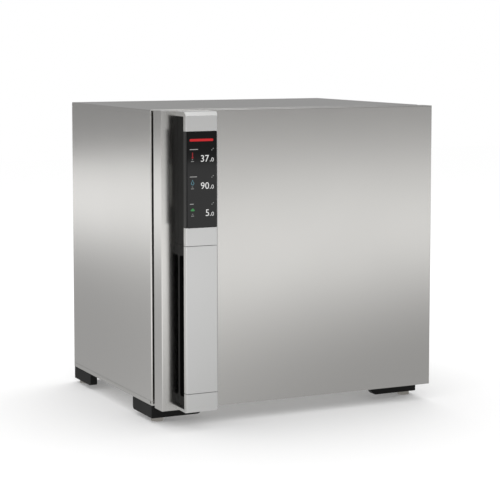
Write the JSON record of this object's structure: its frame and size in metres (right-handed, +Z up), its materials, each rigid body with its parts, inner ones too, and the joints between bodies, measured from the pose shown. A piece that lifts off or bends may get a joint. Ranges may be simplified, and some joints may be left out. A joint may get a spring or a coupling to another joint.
{
  "type": "carbon dioxide incubator",
  "caption": "Bench-top carbon dioxide incubator with an insulated outer door, full-height handle and touch display bar, inner glass door, steel chamber, shelves and levelling feet.",
  "frame": {"origin": "on the floor under the centre of the whole object's box", "axes": "+Z up, -Y towards the user and the outer door, +X to the user's right at the door hinges"},
  "size_m": [0.719, 0.6636, 0.731],
  "materials": {
    "shell_steel": "fine textured stainless sheet",
    "liner_plastic": "smooth moulded",
    "foam": "cut rigid foam",
    "stainless_steel": "fine brushed stainless",
    "heater_foil": "foil",
    "soft_seal": "matt silicone",
    "black_rubber": "matt",
    "motor_steel": "satin",
    "white_plastic": "moulded",
    "black_plastic": "fine moulded texture",
    "foot_plastic": "moulded, satin",
    "foot_steel": "turned",
    "hinge_steel": "satin",
    "brass_fitting": "machined",
    "silicone_tube": "matt",
    "circuit_board": "solder mask",
    "perforated_case": "mill",
    "clear_glass": "tempered",
    "silver_aluminium": "satin anodised",
    "display_cover": "black cover glass",
    "display_screen": "black lit screen",
    "trim_grey": "moulded"
  },
  "bodies": {
    "cabinet": {"top_cover": "shell_steel", "side_panel_left": "shell_steel", "side_panel_right": "shell_steel", "rear_panel": "shell_steel", "base_pan": "shell_steel", "front_frame": "shell_steel", "cabinet_insulation": "foam", "inner_chamber": "stainless_steel", "shelf_rails": "stainless_steel", "shelf_upper": "stainless_steel", "shelf_middle": "stainless_steel", "shelf_lower": "stainless_steel", "water_tray": "stainless_steel", "fan_cover": "stainless_steel", "temperature_probe": "stainless_steel", "chamber_heater": "heater_foil", "chamber_gasket": "soft_seal", "fan_motor": "motor_steel", "access_port_sleeve": "white_plastic", "gas_filter": "white_plastic", "power_inlet": "black_plastic", "network_port": "black_plastic", "co2_sensor": "black_plastic", "foot_block_front_left": "foot_plastic", "foot_block_front_right": "foot_plastic", "foot_block_rear_left": "foot_plastic", "foot_block_rear_right": "foot_plastic", "hinge_brackets": "hinge_steel", "hinge_pins": "hinge_steel", "glass_hinge_mounts": "hinge_steel", "glass_hinge_pins": "hinge_steel", "latch_keeper": "hinge_steel", "co2_inlet_fitting": "brass_fitting", "gas_valve": "brass_fitting", "gas_tubes": "silicone_tube", "control_board": "circuit_board", "power_supply": "perforated_case"},
    "door": {"door_skin": "shell_steel", "door_liner": "liner_plastic", "door_insulation": "foam", "door_gasket": "black_rubber", "door_hinge_leaves": "hinge_steel", "display_bezel": "silver_aluminium", "handle_plate": "silver_aluminium", "handle_end_cap": "silver_aluminium", "display_body": "black_plastic", "grip_body": "black_plastic", "display_glass": "display_cover", "display_panel": "display_screen", "port_cover": "trim_grey"},
    "glass_door": {"glass_pane": "clear_glass", "glass_hinge_leaves": "hinge_steel"},
    "latch": {"glass_latch": "hinge_steel"},
    "fan": {"fan_impeller": "white_plastic", "fan_shaft": "stainless_steel"},
    "port_plug": {"access_port_plug": "soft_seal"},
    "foot_front_left": {"leveling_foot_front_left": "foot_steel"},
    "foot_front_right": {"leveling_foot_front_right": "foot_steel"},
    "foot_rear_left": {"leveling_foot_rear_left": "foot_steel"},
    "foot_rear_right": {"leveling_foot_rear_right": "foot_steel"}
  },
  "joints": [
    {"name": "door_hinge", "type": "hinge", "parent": "cabinet", "child": "door", "pos_m": [0.3535, -0.219, 0.3855], "axis": [0, 0, 1], "range_deg": [0, 105]},
    {"name": "glass_door_hinge", "type": "hinge", "parent": "cabinet", "child": "glass_door", "pos_m": [0.29, -0.21625, 0.3855], "axis": [0, 0, 1], "range_deg": [0, 100]},
    {"name": "latch_turn", "type": "hinge", "parent": "glass_door", "child": "latch", "pos_m": [-0.243, -0.21125, 0.3855], "axis": [0, -1, 0], "range_deg": [0, 90]},
    {"name": "fan_spin", "type": "hinge", "parent": "cabinet", "child": "fan", "pos_m": [0, 0.18175, 0.5455], "axis": [0, 1, 0], "continuous": true},
    {"name": "port_plug_slide", "type": "slide", "parent": "cabinet", "child": "port_plug", "axis": [0, 1, 0], "range_m": [0, 0.035]},
    {"name": "foot_front_left_turn", "type": "hinge", "parent": "cabinet", "child": "foot_front_left", "pos_m": [-0.3365, -0.18825, 0.02], "axis": [0, 0, 1], "continuous": true},
    {"name": "foot_front_right_turn", "type": "hinge", "parent": "cabinet", "child": "foot_front_right", "pos_m": [0.3365, -0.18825, 0.02], "axis": [0, 0, 1], "continuous": true},
    {"name": "foot_rear_left_turn", "type": "hinge", "parent": "cabinet", "child": "foot_rear_left", "pos_m": [-0.3365, 0.29275, 0.02], "axis": [0, 0, 1], "continuous": true},
    {"name": "foot_rear_right_turn", "type": "hinge", "parent": "cabinet", "child": "foot_rear_right", "pos_m": [0.3365, 0.29275, 0.02], "axis": [0, 0, 1], "continuous": true}
  ],
  "couplings": [
    {"joint": "glass_door_hinge", "follows": "door_hinge", "ratio": 0.95}
  ]
}
